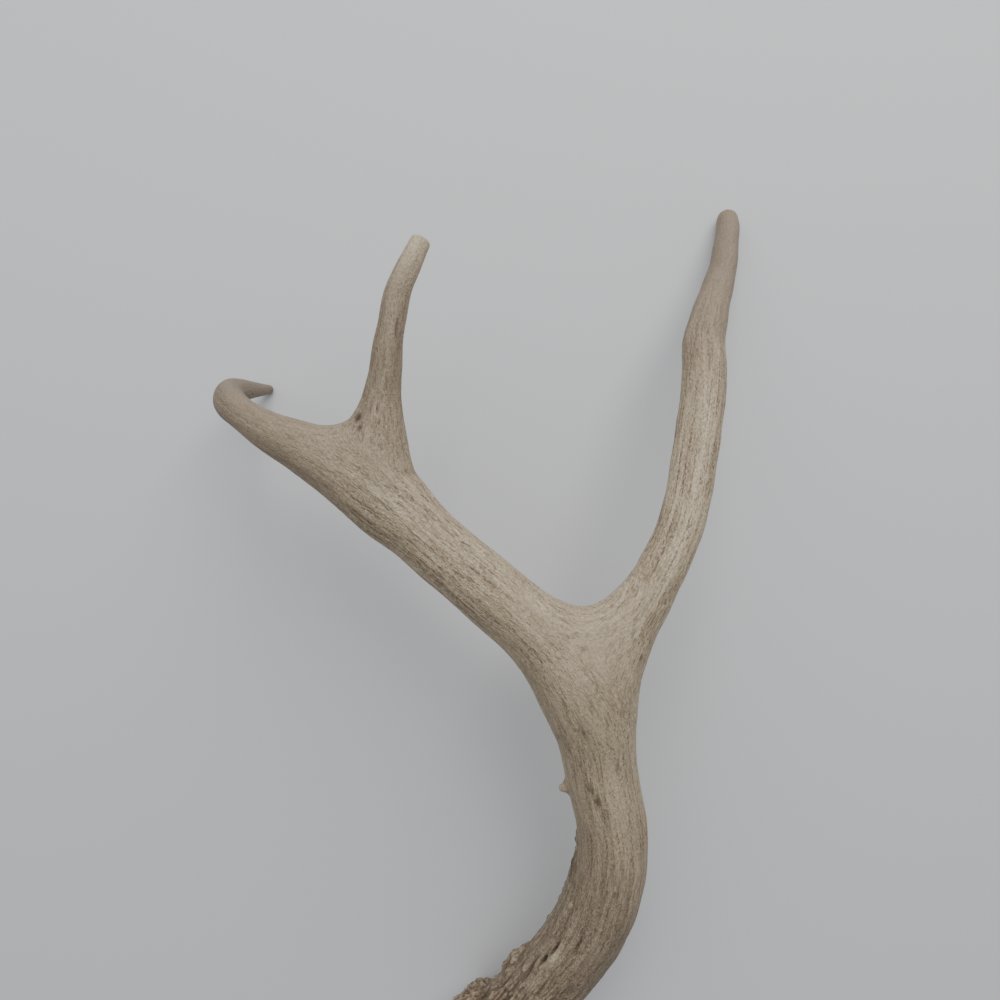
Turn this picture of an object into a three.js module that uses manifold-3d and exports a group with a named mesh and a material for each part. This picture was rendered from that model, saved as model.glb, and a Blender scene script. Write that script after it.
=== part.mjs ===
// A shed mule deer antler: the beam grows out of a knobbly burr and forks twice.
// Millimetres, +Z up. It lies on its burr and on the tips of its two longest tines, bowed upwards between
// them. The origin is the middle of its footprint, on the surface it lies on. The burr is towards -Y, the
// tines towards +Y, the front of the antler towards -X and its rear towards +X.

import * as THREE from "three";
import { mergeVertices } from "three/addons/utils/BufferGeometryUtils.js";
import Module from "manifold-3d";

// ---------------------------------------------------------------- driving dimensions

// Centre lines as [x, y, z, radius]. The main beam runs from the burr through both forks to the hooked tip.
const MAIN_BEAM = [
  [4.0, -199.8, 24.1, 18.0],
  [17.5, -182.3, 30.6, 18.0],
  [32.6, -160.1, 38.0, 17.2],
  [48.0, -134.8, 44.0, 17.7],
  [55.3, -111.3, 49.0, 17.4],
  [57.2, -85.3, 54.0, 15.9],
  [51.8, -58.8, 58.0, 16.6],
  [47.1, -34.3, 63.0, 16.0],
  [38.5, -14.1, 67.0, 16.7],
  [23.3, 6.8, 71.0, 16.0],
  [0.8, 27.5, 76.0, 14.8],
  [-20.3, 45.6, 79.0, 14.0],
  [-38.3, 61.4, 80.0, 12.8],
  [-59.2, 77.9, 80.0, 13.4],
  [-76.5, 88.0, 80.0, 11.5],
  [-93.2, 96.0, 78.0, 8.4],
  [-108.0, 104.7, 69.0, 7.5],
  [-119.8, 112.7, 53.0, 7.0],
  [-124.9, 119.3, 36.0, 6.3],
  [-121.6, 122.6, 19.0, 4.4],
  [-117.0, 125.3, 2.4, 2.8],
];
const REAR_TINE = [
  [47.0, -20.8, 66.0, 8.0],
  [52.0, -8.1, 68.0, 10.8],
  [62.0, 11.7, 71.0, 12.6],
  [74.2, 32.7, 73.0, 10.9],
  [85.6, 57.1, 70.0, 10.2],
  [93.6, 89.2, 63.0, 10.2],
  [100.3, 120.2, 52.0, 10.2],
  [102.2, 140.7, 43.0, 9.9],
  [108.4, 160.0, 34.0, 8.6],
  [118.2, 183.5, 21.0, 7.1],
  [123.8, 205.7, 10.0, 6.0],
  [125.3, 214.2, 5.0, 5.3],
];
const UPPER_TINE = [
  [-41.0, 67.2, 80.0, 7.0],
  [-46.5, 77.2, 80.0, 8.6],
  [-45.7, 92.2, 81.0, 9.4],
  [-44.4, 107.2, 82.0, 8.0],
  [-43.0, 121.7, 83.0, 6.8],
  [-41.1, 138.7, 82.0, 5.8],
  [-38.0, 156.7, 79.0, 5.7],
  [-32.2, 171.2, 76.0, 4.9],
  [-28.6, 180.0, 74.0, 4.6],
];

// How far the web of each fork reaches between its two arms.
const FIRST_FORK_WEB = 31;
const SECOND_FORK_WEB = 24;

// Each fork is parted across the stem below it, and between its two arms.
const FIRST_FORK = {
  middle: [46, -12.8, 67],
  across: [-0.1, 0.98, 0.16],
  crotch: [45, 20.2, 72],
  between: [0.995, 0.1, 0],
  frontArm: -14,
  rearArm: 11,
};
const SECOND_FORK = {
  middle: [-47.5, 74.7, 80],
  across: [-0.731, 0.682, 0],
  crotch: [-57.5, 99.7, 80],
  between: [0.899, 0.438, 0],
  frontArm: -11,
  rearArm: 7,
};
const PARTING_GAP = 0.3;

const BURR = { discRadius: 19.6, rimRadius: 4.2, rimHeight: 1.0, blend: 8 };
const KNOBS = { count: 17, circle: 21.0, radius: 3.6, stretch: 1.1, lowest: -2.6, rise: 2.6 };
const SEAL = { domeRadius: 60, radius: 18, depth: 5.5, flatDepth: 4.6, edge: 3 };

// Pearls and the lumps of the shoulder sit at a turn in degrees from the top of the beam towards its front.
const PEARLS = {
  count: 22,
  from: 0.9,
  to: 5.1,
  turn: 108,
  radius: 1.3,
  growth: 1.1,
  stretch: 1.7,
  sunk: 0.4,
  spread: 0.4,
  gather: 0.35,
};
const SHOULDER = {
  stations: [1.38, 1.62, 1.84],
  radii: [3.8, 5.2, 3.6],
  turn: 106,
  stretch: 1.15,
  sunk: 0.35,
};
const SPUR = { station: 5.93, length: 10, radius: 3.2, tipRadius: 0.8, sides: 10 };

// The upper tine ends in a worn break, square to it.
const BROKEN_END = { reach: 15, edge: 2, below: 1.6 };

const SWELL = { height: 0.45, length: 34 };
const FURROW = { depth: 0.35, lengthOfTwist: 190 };

// Rings around each piece, and points around each ring.
const SIDES = { beam: 28, branch: 26, rear: 20, hook: 18, upper: 16 };

// ---------------------------------------------------------------- the form as a distance field

const vector = (numbers) => new THREE.Vector3(...numbers);
const smoothstep = THREE.MathUtils.smoothstep;
const SAMPLES_PER_STATION = 6;

// A round stem that bends and tapers through its stations.
class Stem {
  constructor(stations) {
    this.last = stations.length - 1;
    const middles = stations.map(([x, y, z]) => new THREE.Vector3(x, y, z));
    const radii = stations.map(([, , , radius]) => new THREE.Vector3(radius, 0, 0));
    this.line = new THREE.CatmullRomCurve3(middles, false, "catmullrom");
    this.radii = new THREE.CatmullRomCurve3(radii, false, "catmullrom");
    const count = this.last * SAMPLES_PER_STATION;
    this.samples = Array.from({ length: count + 1 }, (_, i) => ({
      middle: this.line.getPoint(i / count),
      radius: this.radii.getPoint(i / count).x,
    }));
  }

  // Distance from a point to the stem's skin, negative inside it.
  distance(point) {
    let nearest = Infinity;
    for (let i = 1; i < this.samples.length; i++) {
      const a = this.samples[i - 1];
      const b = this.samples[i];
      const run = b.middle.clone().sub(a.middle);
      const along = point.clone().sub(a.middle).dot(run) / run.lengthSq();
      const share = THREE.MathUtils.clamp(along, 0, 1);
      const away = a.middle.clone().addScaledVector(run, share).distanceTo(point);
      nearest = Math.min(nearest, away - THREE.MathUtils.lerp(a.radius, b.radius, share));
    }
    return nearest;
  }
}

// The smaller of two distances, with the corner between them filled over the given reach.
function blended(a, b, reach) {
  const overlap = Math.max(reach - Math.abs(a - b), 0) / reach;
  return Math.min(a, b) - (overlap * overlap * reach) / 4;
}

const mainBeam = new Stem(MAIN_BEAM);
const rearTine = new Stem(REAR_TINE);
const upperTine = new Stem(UPPER_TINE);

const burrMiddle = mainBeam.line.getPoint(0);
const burrAxis = mainBeam.line.getTangent(0);
const tineEnd = upperTine.line.getPoint(1);
const tineEndAxis = upperTine.line.getTangent(1);

// How far a point is up the burr's axis, and out from it.
function fromBurr(point) {
  const offset = point.clone().sub(burrMiddle);
  const height = offset.dot(burrAxis);
  return { height, outwards: Math.sqrt(Math.max(offset.lengthSq() - height * height, 0)) };
}

// The flared disc at the foot of the beam.
function burrDistance({ height, outwards }) {
  return Math.hypot(Math.max(outwards - BURR.discRadius, 0), height - BURR.rimHeight) - BURR.rimRadius;
}

// The shallow dome where the antler dropped off the skull. Bone is above it.
function sealDistance({ height, outwards }) {
  return Math.min(outwards, SEAL.radius) ** 2 / (2 * SEAL.domeRadius) - SEAL.depth - height;
}

// The slow uneven swelling of grown bone.
function swell({ x, y, z }) {
  const turn = (2 * Math.PI) / SWELL.length;
  const crossing = Math.sin(turn * (x + 0.4 * y)) * Math.sin(turn * (y - 0.3 * z) + 1.3);
  const slanting = Math.sin(turn * (z + 0.5 * x) + 2.1);
  return (SWELL.height * (crossing + slanting)) / 2;
}

function antlerDistance(point) {
  const withRear = blended(mainBeam.distance(point), rearTine.distance(point), FIRST_FORK_WEB);
  const forked = blended(withRear, upperTine.distance(point), SECOND_FORK_WEB);
  const atBurr = fromBurr(point);
  const withBurr = blended(forked, burrDistance(atBurr), BURR.blend);
  const sealed = -blended(-withBurr, -sealDistance(atBurr), SEAL.edge);
  const brokenEnd = point.clone().sub(tineEnd).dot(tineEndAxis);
  const nearEnd = point.distanceTo(tineEnd) < BROKEN_END.reach;
  const trimmed = nearEnd ? -blended(-sealed, -brokenEnd, BROKEN_END.edge) : sealed;
  return trimmed - swell(point);
}

// ---------------------------------------------------------------- pieces as rings around a spine

const REACH_STEP = 3;
const REACH_LIMIT = 60;
const HALVINGS = 16;

// How far the skin is from an inner point, in one direction.
function reach(from, direction) {
  const at = (far) => from.clone().addScaledVector(direction, far);
  let outer = REACH_STEP;
  while (outer < REACH_LIMIT && antlerDistance(at(outer)) < 0) outer += REACH_STEP;
  let inner = outer - REACH_STEP;
  for (let i = 0; i < HALVINGS; i++) {
    const middle = (inner + outer) / 2;
    if (antlerDistance(at(middle)) < 0) inner = middle;
    else outer = middle;
  }
  return inner;
}

// Shallow lengthwise furrows, as a change of radius at an angle round the stem.
function furrow(angle, along, count) {
  const drift = (2 * Math.PI * along) / FURROW.lengthOfTwist;
  const fine = Math.cos(count * angle + 2 * Math.sin(drift * 3));
  const broad = Math.cos((count - 4) * angle - 1.7 * Math.sin(drift * 2 + 1));
  return (FURROW.depth * (fine + broad)) / 2;
}

// One closed piece. Each ring is { middle, normal, furrowed }, and its points are found on the skin.
function ringPiece(rings, { sides, furrows, apex }) {
  const positions = [];
  const sideways = new THREE.Vector3(0.3, -0.2, 1);
  let along = 0;
  rings.forEach((ring, k) => {
    sideways.addScaledVector(ring.normal, -sideways.dot(ring.normal)).normalize();
    const upright = ring.normal.clone().cross(sideways);
    if (k > 0) along += ring.middle.distanceTo(rings[k - 1].middle);
    for (let i = 0; i < sides; i++) {
      const angle = (2 * Math.PI * i) / sides;
      const direction = sideways
        .clone()
        .multiplyScalar(Math.cos(angle))
        .addScaledVector(upright, Math.sin(angle));
      const relief = ring.furrowed * furrow(angle, along, furrows);
      const point = ring.middle.clone().addScaledVector(direction, reach(ring.middle, direction) + relief);
      positions.push(point.x, point.y, point.z);
    }
  });
  const first = rings[0].middle;
  const last = rings[rings.length - 1];
  const end = last.middle.clone().addScaledVector(last.normal, apex ? reach(last.middle, last.normal) : 0);
  const startIndex = positions.length / 3;
  positions.push(first.x, first.y, first.z, end.x, end.y, end.z);

  const faces = [];
  const lastRing = (rings.length - 1) * sides;
  for (let i = 0; i < sides; i++) {
    const next = (i + 1) % sides;
    faces.push(startIndex, next, i);
    faces.push(startIndex + 1, lastRing + i, lastRing + next);
    for (let k = 0; k < lastRing; k += sides) {
      faces.push(k + i, k + next, k + sides + next);
      faces.push(k + i, k + sides + next, k + sides + i);
    }
  }
  const geometry = new THREE.BufferGeometry();
  geometry.setAttribute("position", new THREE.Float32BufferAttribute(positions, 3));
  geometry.setIndex(faces);
  return geometry;
}

// Rings along a spine of points. They leave the start plane and meet the end plane squarely, and lie across
// the spine elsewhere. Over the web of a fork they stand closer and have no furrows.
function spineRings(points, { spacing, start, end, web = 0, squareOver = 45 }) {
  const spine = new THREE.CatmullRomCurve3(points, false, "centripetal");
  const length = spine.getLength();
  const stops = [];
  for (let far = 0; far < length - spacing / 2; far += far < web ? spacing / 2 : spacing) stops.push(far);
  stops.push(length);
  return stops.map((far) => {
    const normal = spine.getTangentAt(far / length);
    if (start) normal.lerpVectors(start, normal, smoothstep(far, 0, squareOver));
    if (end) normal.lerpVectors(end, normal, smoothstep(length - far, 0, squareOver));
    const furrowed = smoothstep(far, web, web + 25) * smoothstep(length - far, 0, 25);
    return { middle: spine.getPointAt(far / length), normal: normal.normalize(), furrowed };
  });
}

// A spine's rings, with two more that round off the tip beyond its last ring.
function ringsToTip(points, tipRadius, options) {
  const rings = spineRings(points, options);
  const last = rings[rings.length - 1];
  const beyondLast = [0.5, 0.85].map((share) => ({
    ...last,
    middle: last.middle.clone().addScaledVector(last.normal, share * tipRadius),
  }));
  return [...rings, ...beyondLast];
}

// Where a fork parts: the end of the stem below it and the middle of each arm's foot, half a gap off.
function partedFork(fork) {
  const across = vector(fork.across).normalize();
  const between = vector(fork.between).normalize();
  const middle = vector(fork.middle);
  const crotch = vector(fork.crotch);
  const sideways = between.clone().addScaledVector(across, -between.dot(across)).normalize();
  const toParting = crotch.clone().sub(middle).dot(between) / sideways.dot(between);
  const armFoot = (far) =>
    middle
      .clone()
      .addScaledVector(sideways, toParting + far)
      .addScaledVector(across, PARTING_GAP / 2);
  return {
    across,
    between,
    crotch,
    stemEnd: middle.clone().addScaledVector(across, -PARTING_GAP / 2),
    frontFoot: armFoot(fork.frontArm),
    rearFoot: armFoot(fork.rearArm),
  };
}

const firstFork = partedFork(FIRST_FORK);
const secondFork = partedFork(SECOND_FORK);

function middlesOf(stations, from, to) {
  return stations.slice(from, to).map(([x, y, z]) => new THREE.Vector3(x, y, z));
}

// Heights up the burr's axis of the rings that give the shed base, the flared rim and the neck above it.
const BURR_RINGS = [-SEAL.flatDepth, -3.2, -1.2, 0.8, 2.6, 4.4, 6.4, 9];
const BEAM_START = 13;

function beamGeometry() {
  const upAxis = (height) => burrMiddle.clone().addScaledVector(burrAxis, height);
  const burrRings = BURR_RINGS.map((height) => ({ middle: upAxis(height), normal: burrAxis, furrowed: 0 }));
  const spine = [upAxis(BEAM_START), ...middlesOf(MAIN_BEAM, 1, 7), firstFork.stemEnd];
  const rings = spineRings(spine, { spacing: 7.5, start: burrAxis, end: firstFork.across });
  return ringPiece([...burrRings, ...rings], { sides: SIDES.beam, furrows: 13, apex: false });
}

function frontBranchGeometry() {
  const spine = [firstFork.frontFoot, ...middlesOf(MAIN_BEAM, 9, 12), secondFork.stemEnd];
  const rings = spineRings(spine, { spacing: 7, start: firstFork.across, end: secondFork.across, web: 36 });
  return ringPiece(rings, { sides: SIDES.branch, furrows: 11, apex: false });
}

function rearTineGeometry() {
  const spine = [firstFork.rearFoot, ...middlesOf(REAR_TINE, 2)];
  const tipRadius = REAR_TINE[REAR_TINE.length - 1][3];
  const rings = ringsToTip(spine, tipRadius, { spacing: 7.5, start: firstFork.across, web: 32 });
  return ringPiece(rings, { sides: SIDES.rear, furrows: 9, apex: true });
}

function hookedTipGeometry() {
  const spine = [secondFork.frontFoot, ...middlesOf(MAIN_BEAM, 14)];
  const tipRadius = MAIN_BEAM[MAIN_BEAM.length - 1][3];
  const rings = ringsToTip(spine, tipRadius, { spacing: 5.5, start: secondFork.across, web: 26 });
  return ringPiece(rings, { sides: SIDES.hook, furrows: 8, apex: true });
}

function upperTineGeometry() {
  const belowBrokenEnd = tineEnd.clone().addScaledVector(tineEndAxis, -BROKEN_END.below);
  const spine = [secondFork.rearFoot, ...middlesOf(UPPER_TINE, 2, 8), belowBrokenEnd];
  const rings = spineRings(spine, { spacing: 6.5, start: secondFork.across, web: 26, squareOver: 30 });
  return ringPiece(rings, { sides: SIDES.upper, furrows: 8, apex: true });
}

// ---------------------------------------------------------------- burr knobs, pearls and the brow spur

const wasm = await Module();
wasm.setup();

function solidOf(geometry) {
  const bare = geometry.clone();
  bare.deleteAttribute("normal");
  bare.deleteAttribute("uv");
  const merged = mergeVertices(bare, 1e-4);
  return new wasm.Manifold(
    new wasm.Mesh({
      numProp: 3,
      vertProperties: merged.attributes.position.array,
      triVerts: new Uint32Array(merged.index.array),
    }),
  );
}

function geometryOf(solid) {
  const { vertProperties, triVerts } = solid.getMesh();
  const geometry = new THREE.BufferGeometry();
  geometry.setAttribute("position", new THREE.BufferAttribute(vertProperties, 3));
  geometry.setIndex(new THREE.BufferAttribute(triVerts, 1));
  return geometry;
}

const CUT_SIZE = 600;

// Everything beyond a plane, as a block to cut away. The plane's normal points out of what is kept.
function beyond(point, normal) {
  const block = new THREE.BoxGeometry(CUT_SIZE, CUT_SIZE, CUT_SIZE);
  block.translate(0, 0, CUT_SIZE / 2);
  block.applyQuaternion(new THREE.Quaternion().setFromUnitVectors(new THREE.Vector3(0, 0, 1), normal));
  block.translate(point.x, point.y, point.z);
  return solidOf(block);
}

// The worn spots that the antler lies on are flat.
const underSurface = beyond(new THREE.Vector3(0, 0, 0), new THREE.Vector3(0, 0, -1));

// One arm of a fork, cut away short of the plane between the arms.
function arm(geometry, fork, side) {
  const normal = fork.between.clone().multiplyScalar(side);
  const point = fork.crotch.clone().addScaledVector(normal, -PARTING_GAP / 2);
  return solidOf(geometry).subtract(beyond(point, normal)).subtract(underSurface);
}
const FRONT_ARM = 1;
const REAR_ARM = -1;

// A repeatable number from 0 to 1 that looks random.
const uneven = (index, salt) => Math.abs(Math.sin(index * 12.9898 + salt * 78.233) * 43758.5453) % 1;

const FRONT_EDGE = Math.PI / 2;

// A direction square to an axis, turned from the +Z side of it towards the front of the antler.
function aroundAxis(axis, angle) {
  const up = new THREE.Vector3(0, 0, 1).addScaledVector(axis, -axis.z).normalize();
  return up.applyAxisAngle(axis, -angle);
}

// A rounded lump, longer along the axis of the bone under it.
function lump(middle, axis, { radius, stretch, detail }) {
  const geometry = new THREE.IcosahedronGeometry(radius, detail);
  geometry.scale(1, 1, stretch);
  geometry.applyQuaternion(new THREE.Quaternion().setFromUnitVectors(new THREE.Vector3(0, 0, 1), axis));
  geometry.translate(middle.x, middle.y, middle.z);
  return solidOf(geometry);
}

function burrKnobs() {
  return Array.from({ length: KNOBS.count }, (_, i) => {
    const angle = (2 * Math.PI * (i + 0.6 * uneven(i, 1))) / KNOBS.count;
    const radius = KNOBS.radius * (0.75 + 0.5 * uneven(i, 2));
    const middle = burrMiddle
      .clone()
      .addScaledVector(aroundAxis(burrAxis, angle), KNOBS.circle + uneven(i, 7))
      .addScaledVector(burrAxis, KNOBS.lowest + KNOBS.rise * uneven(i, 3));
    return lump(middle, burrAxis, { radius, stretch: KNOBS.stretch, detail: 1 });
  });
}

// Pearls crowd round the foot of the beam and thin out along its front edge.
function pearls() {
  return Array.from({ length: PEARLS.count }, (_, i) => {
    const share = (i + uneven(i, 4)) / PEARLS.count;
    const station = PEARLS.from + (PEARLS.to - PEARLS.from) * share * share;
    const along = station / mainBeam.last;
    const axis = mainBeam.line.getTangent(along);
    const spread = THREE.MathUtils.lerp(Math.PI, PEARLS.spread, share ** PEARLS.gather);
    const angle = THREE.MathUtils.degToRad(PEARLS.turn) + spread * (2 * uneven(i, 5) - 1);
    const outwards = aroundAxis(axis, angle);
    const middle = mainBeam.line.getPoint(along);
    const radius = PEARLS.radius + PEARLS.growth * uneven(i, 6) * (1 - share);
    middle.addScaledVector(outwards, reach(middle, outwards) - PEARLS.sunk * radius);
    return lump(middle, axis, { radius, stretch: PEARLS.stretch, detail: 0 });
  });
}

// Lumps that step the front edge of the beam out, a little above the burr.
function shoulder() {
  return SHOULDER.stations.map((station, i) => {
    const along = station / mainBeam.last;
    const axis = mainBeam.line.getTangent(along);
    const middle = mainBeam.line.getPoint(along);
    const outwards = aroundAxis(axis, THREE.MathUtils.degToRad(SHOULDER.turn));
    const radius = SHOULDER.radii[i];
    middle.addScaledVector(outwards, reach(middle, outwards) - SHOULDER.sunk * radius);
    return lump(middle, axis, { radius, stretch: SHOULDER.stretch, detail: 1 });
  });
}

// The short blunt spur on the front edge of the beam.
function browSpur() {
  const along = SPUR.station / mainBeam.last;
  const middle = mainBeam.line.getPoint(along);
  const outwards = aroundAxis(mainBeam.line.getTangent(along), FRONT_EDGE);
  const geometry = new THREE.CylinderGeometry(SPUR.tipRadius, SPUR.radius, SPUR.length, SPUR.sides);
  geometry.applyQuaternion(new THREE.Quaternion().setFromUnitVectors(new THREE.Vector3(0, 1, 0), outwards));
  middle.addScaledVector(outwards, reach(middle, outwards));
  geometry.translate(middle.x, middle.y, middle.z);
  return solidOf(geometry);
}

function knobblyBeam() {
  return [...burrKnobs(), ...pearls(), ...shoulder(), browSpur()]
    .reduce((whole, grown) => whole.add(grown), solidOf(beamGeometry()))
    .subtract(underSurface);
}

// ---------------------------------------------------------------- the antler

// Dry bone, browner and rougher towards the burr, paler and smoother towards the tips.
const pieces = {
  beam: { solid: knobblyBeam(), color: 0x8c7d69, roughness: 0.82 },
  front_branch: { solid: arm(frontBranchGeometry(), firstFork, FRONT_ARM), color: 0x9a8c78, roughness: 0.72 },
  rear_tine: { solid: arm(rearTineGeometry(), firstFork, REAR_ARM), color: 0x9b8e7b, roughness: 0.68 },
  hooked_tip: { solid: arm(hookedTipGeometry(), secondFork, FRONT_ARM), color: 0x94866f, roughness: 0.7 },
  upper_tine: { solid: arm(upperTineGeometry(), secondFork, REAR_ARM), color: 0x8f8271, roughness: 0.72 },
};

const antler = new THREE.Group();
for (const [name, { solid, color, roughness }] of Object.entries(pieces)) {
  const bone = new THREE.MeshStandardMaterial({ color, roughness, metalness: 0 });
  const mesh = new THREE.Mesh(geometryOf(solid), bone);
  mesh.name = name;
  antler.add(mesh);
}

export default antler;
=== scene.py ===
"""The bone surface of a shed mule deer antler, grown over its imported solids.

The skin of the whole antler is found once, as one closed mesh, from the same centre lines as the solids:
a bare form, then knobs and pearls fused on, then furrows, grooves and marks. It is then parted at its two
main forks into the five pieces that stand for the five solids. Named lengths are in millimetres, and so is
the skin until it has its relief. Its pieces, the settings and the stage are in metres.
"""

import functools
import itertools

import bmesh
import bpy
import numpy as np
from bpy.props import FloatProperty, FloatVectorProperty, PointerProperty
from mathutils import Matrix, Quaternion, Vector


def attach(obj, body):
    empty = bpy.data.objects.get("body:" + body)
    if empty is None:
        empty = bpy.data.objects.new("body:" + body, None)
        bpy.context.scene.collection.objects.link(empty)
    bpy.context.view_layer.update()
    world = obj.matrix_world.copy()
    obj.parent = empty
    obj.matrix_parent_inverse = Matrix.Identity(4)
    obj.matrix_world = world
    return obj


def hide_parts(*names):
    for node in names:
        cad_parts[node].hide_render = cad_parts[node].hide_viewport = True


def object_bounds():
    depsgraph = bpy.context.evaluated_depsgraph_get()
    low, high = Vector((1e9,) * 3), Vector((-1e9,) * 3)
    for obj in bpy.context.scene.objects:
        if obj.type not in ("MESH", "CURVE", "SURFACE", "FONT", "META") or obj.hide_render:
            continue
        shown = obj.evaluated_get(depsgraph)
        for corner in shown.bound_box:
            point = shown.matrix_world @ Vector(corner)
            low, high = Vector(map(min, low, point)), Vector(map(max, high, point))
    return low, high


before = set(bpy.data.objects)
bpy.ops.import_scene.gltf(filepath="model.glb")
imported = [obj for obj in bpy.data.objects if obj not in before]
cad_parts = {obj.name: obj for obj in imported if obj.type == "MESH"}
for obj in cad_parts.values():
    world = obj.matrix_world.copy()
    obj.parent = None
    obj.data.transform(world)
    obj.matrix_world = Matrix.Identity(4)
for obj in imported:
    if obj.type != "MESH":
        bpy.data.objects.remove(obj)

bl_info = {
    "name": "Deer Antler",
    "version": (1, 0, 0),
    "blender": (4, 5, 0),
    "location": "3D View > Sidebar > Antler",
    "description": "Grows the bone surface of a shed deer antler over its solids",
    "category": "Add Mesh",
}

CAD_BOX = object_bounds()
MILLIMETRE = 0.001

# ---------------------------------------------------------------- centre lines

# Stations along each stem: x, y, z and radius, in millimetres.
MAIN_BEAM = [
    [4.0, -199.8, 24.1, 18.0],
    [17.5, -182.3, 30.6, 18.0],
    [32.6, -160.1, 38.0, 17.2],
    [48.0, -134.8, 44.0, 17.7],
    [55.3, -111.3, 49.0, 17.4],
    [57.2, -85.3, 54.0, 15.9],
    [51.8, -58.8, 58.0, 16.6],
    [47.1, -34.3, 63.0, 16.0],
    [38.5, -14.1, 67.0, 16.7],
    [23.3, 6.8, 71.0, 16.0],
    [0.8, 27.5, 76.0, 14.8],
    [-20.3, 45.6, 79.0, 14.0],
    [-38.3, 61.4, 80.0, 12.8],
    [-59.2, 77.9, 80.0, 13.4],
    [-76.5, 88.0, 80.0, 11.5],
    [-93.2, 96.0, 78.0, 8.4],
    [-108.0, 104.7, 69.0, 7.5],
    [-119.8, 112.7, 53.0, 7.0],
    [-124.9, 119.3, 36.0, 6.3],
    [-121.6, 122.6, 19.0, 4.4],
    [-117.0, 125.3, 2.4, 2.8],
]
REAR_TINE = [
    [47.0, -20.8, 66.0, 8.0],
    [52.0, -8.1, 68.0, 10.8],
    [62.0, 11.7, 71.0, 12.6],
    [74.2, 32.7, 73.0, 10.9],
    [85.6, 57.1, 70.0, 10.2],
    [93.6, 89.2, 63.0, 10.2],
    [100.3, 120.2, 52.0, 10.2],
    [102.2, 140.7, 43.0, 9.9],
    [108.4, 160.0, 34.0, 8.6],
    [118.2, 183.5, 21.0, 7.1],
    [123.8, 205.7, 10.0, 6.0],
    [125.3, 214.2, 5.0, 5.3],
]
UPPER_TINE = [
    [-41.0, 67.2, 80.0, 7.0],
    [-46.5, 77.2, 80.0, 8.6],
    [-45.7, 92.2, 81.0, 9.4],
    [-44.4, 107.2, 82.0, 8.0],
    [-43.0, 121.7, 83.0, 6.8],
    [-41.1, 138.7, 82.0, 5.8],
    [-38.0, 156.7, 79.0, 5.7],
    [-32.2, 171.2, 76.0, 4.9],
    [-28.6, 180.0, 74.0, 4.6],
]
# How far the web between two stems reaches at each fork.
FIRST_FORK_WEB = 31
SECOND_FORK_WEB = 24

# Each fork parts across the stem below it, and between its two arms.
FIRST_FORK = {
    "middle": (46, -12.8, 67),
    "across": (-0.1, 0.98, 0.16),
    "crotch": (45, 20.2, 72),
    "between": (0.995, 0.1, 0),
}
SECOND_FORK = {
    "middle": (-47.5, 74.7, 80),
    "across": (-0.731, 0.682, 0),
    "crotch": (-57.5, 99.7, 80),
    "between": (0.899, 0.438, 0),
}

# The burr is a disc with a rounded rim, and the seal is the shallow dome inside it.
BURR = {"disc": 19.6, "rim": 4.2, "rim_height": 1.0, "blend": 8}
SEAL = {"dome": 60, "radius": 18, "depth": 5.5, "edge": 3}
BROKEN_END = {"reach": 15, "edge": 2}
SWELL = {"height": 0.45, "length": 34}
KNOBS = {
    "count": 17,
    "circle": 21.0,
    "shift": 0.6,
    "radius": 3.6,
    "smallest": 0.75,
    "range": 0.5,
    "stretch": 1.1,
    "lowest": -2.6,
    "rise": 2.6,
}
# Pearls and the lumps of the shoulder sit at a station of the main beam, and at a turn in degrees from the
# top of the beam towards its front.
PEARLS = {
    "count": 22,
    "from": 0.9,
    "to": 5.1,
    "turn": 108,
    "radius": 1.3,
    "growth": 1.1,
    "stretch": 1.7,
    "sunk": 0.4,
    "spread": 0.4,
    "gather": 0.35,
}
SHOULDER = {
    "stations": [1.38, 1.62, 1.84],
    "radii": [3.8, 5.2, 3.6],
    "turn": 106,
    "stretch": 1.15,
    "sunk": 0.35,
}
SPUR = {"station": 5.93, "root": 3.4, "root_radius": 3.0, "tip": 4.0, "tip_radius": 1.4, "blend": 3.5}


def unit(vector):
    """A vector brought to a length of one."""
    return np.array(vector, float) / np.linalg.norm(vector)


def smoothstep(low, high, values):
    """A smooth rise from nothing at one value to one at another."""
    share = np.clip((values - low) / (high - low), 0, 1)
    return share * share * (3 - 2 * share)


# ---------------------------------------------------------------- the form as a distance field

SAMPLES_PER_STATION = 10
NEAR = 32.0


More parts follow.
